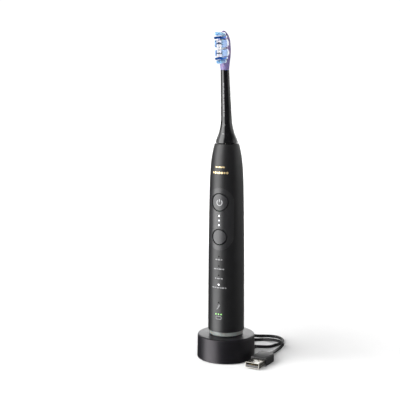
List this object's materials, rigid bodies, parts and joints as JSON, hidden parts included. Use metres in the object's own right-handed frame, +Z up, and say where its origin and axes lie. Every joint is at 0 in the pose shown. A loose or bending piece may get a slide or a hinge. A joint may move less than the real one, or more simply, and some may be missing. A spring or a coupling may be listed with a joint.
{
  "type": "electric toothbrush on charger",
  "caption": "Slim electric toothbrush with a round handle, two buttons and a clip-on bristle head, standing on a round inductive charging puck with its USB lead.",
  "frame": {"origin": "centre of the charging puck's underside, on the surface it stands on", "axes": "+Z up along the handle, -Y towards the front of the handle with its buttons and bristles, +X to the right seen from the front"},
  "size_m": [0.0863, 0.0927, 0.2723],
  "materials": {
    "soft_black": "soft-touch satin black",
    "panel_black": "satin silicone",
    "gloss_black": "high gloss",
    "ring_grey": "translucent satin",
    "rubber_black": "matte",
    "cord_black": "semi-gloss",
    "steel": "bright",
    "contact_gold": "gold plated",
    "copper_wire": "enamelled copper winding",
    "ferrite": "sintered",
    "board_green": "solder mask",
    "chip_black": "moulded",
    "white_plastic": "satin white",
    "clear_light": "clear light guide",
    "cell_wrap": "shrink wrap",
    "inner_grey": "moulded",
    "bronze": "sintered bronze",
    "magnet_nickel": "nickel plated",
    "head_purple": "translucent",
    "bristle_white": "nylon bristle",
    "bristle_navy": "nylon bristle",
    "bristle_blue": "nylon bristle",
    "guard_blue": "soft translucent"
  },
  "bodies": {
    "charger": {"charger_housing": "soft_black", "charger_base_plate": "soft_black", "charger_foot_ring": "rubber_black", "charger_coil_former": "white_plastic", "charger_coil": "copper_wire", "charger_core": "ferrite", "charger_board": "board_green", "charger_components": "chip_black", "cord_strain_relief": "rubber_black", "cord_lead": "cord_black", "cord_coil": "cord_black", "cord_tail": "cord_black", "usb_plug_body": "cord_black", "usb_shell": "steel", "usb_tongue": "chip_black", "usb_contacts": "contact_gold"},
    "handle": {"handle_housing": "soft_black", "control_panel": "panel_black", "light_guides": "clear_light", "button_seals": "rubber_black", "main_board": "board_green", "indicator_leds": "white_plastic", "tact_switches": "chip_black", "board_components": "chip_black", "end_cap": "soft_black", "end_cap_seal": "rubber_black", "light_ring": "ring_grey", "receiver_coil": "copper_wire", "receiver_core": "ferrite", "chassis_frame": "inner_grey", "battery_cell": "cell_wrap", "battery_tabs": "steel", "drive_cradle": "inner_grey", "lower_bush": "bronze", "upper_bush": "bronze", "stator_core": "ferrite", "stator_windings": "copper_wire", "shaft_seal": "rubber_black", "seal_retainer": "soft_black"},
    "drive": {"drive_shaft": "steel", "rotor_yoke": "steel", "rotor_magnets": "magnet_nickel", "torsion_bar": "steel"},
    "power_key": {"power_button": "panel_black"},
    "mode_key": {"mode_button": "panel_black"},
    "brush_head": {"neck_sleeve": "gloss_black", "shaft_clip": "white_plastic", "tag_ring": "white_plastic", "head_plate": "head_purple", "tuft_carrier": "white_plastic", "white_tufts": "bristle_white", "navy_tufts": "bristle_navy", "light_blue_tufts": "bristle_blue", "gum_guards": "guard_blue"}
  },
  "joints": [
    {"name": "handle_lift", "type": "slide", "parent": "charger", "child": "handle", "axis": [0, 0, 1], "range_m": [0, 0.02]},
    {"name": "shaft_swing", "type": "hinge", "parent": "handle", "child": "drive", "pos_m": [0, 0, 0.12], "axis": [0, 0, 1], "range_deg": [-5, 5], "stiffness_Nm_per_rad": 0.05},
    {"name": "power_press", "type": "slide", "parent": "handle", "child": "power_key", "axis": [0, 1, 0], "range_m": [0, 0.0005], "stiffness_N_per_m": 2000},
    {"name": "mode_press", "type": "slide", "parent": "handle", "child": "mode_key", "axis": [0, 1, 0], "range_m": [0, 0.0005], "stiffness_N_per_m": 2000},
    {"name": "head_pull", "type": "slide", "parent": "drive", "child": "brush_head", "axis": [0, 0, 1], "range_m": [0, 0.022]}
  ]
}
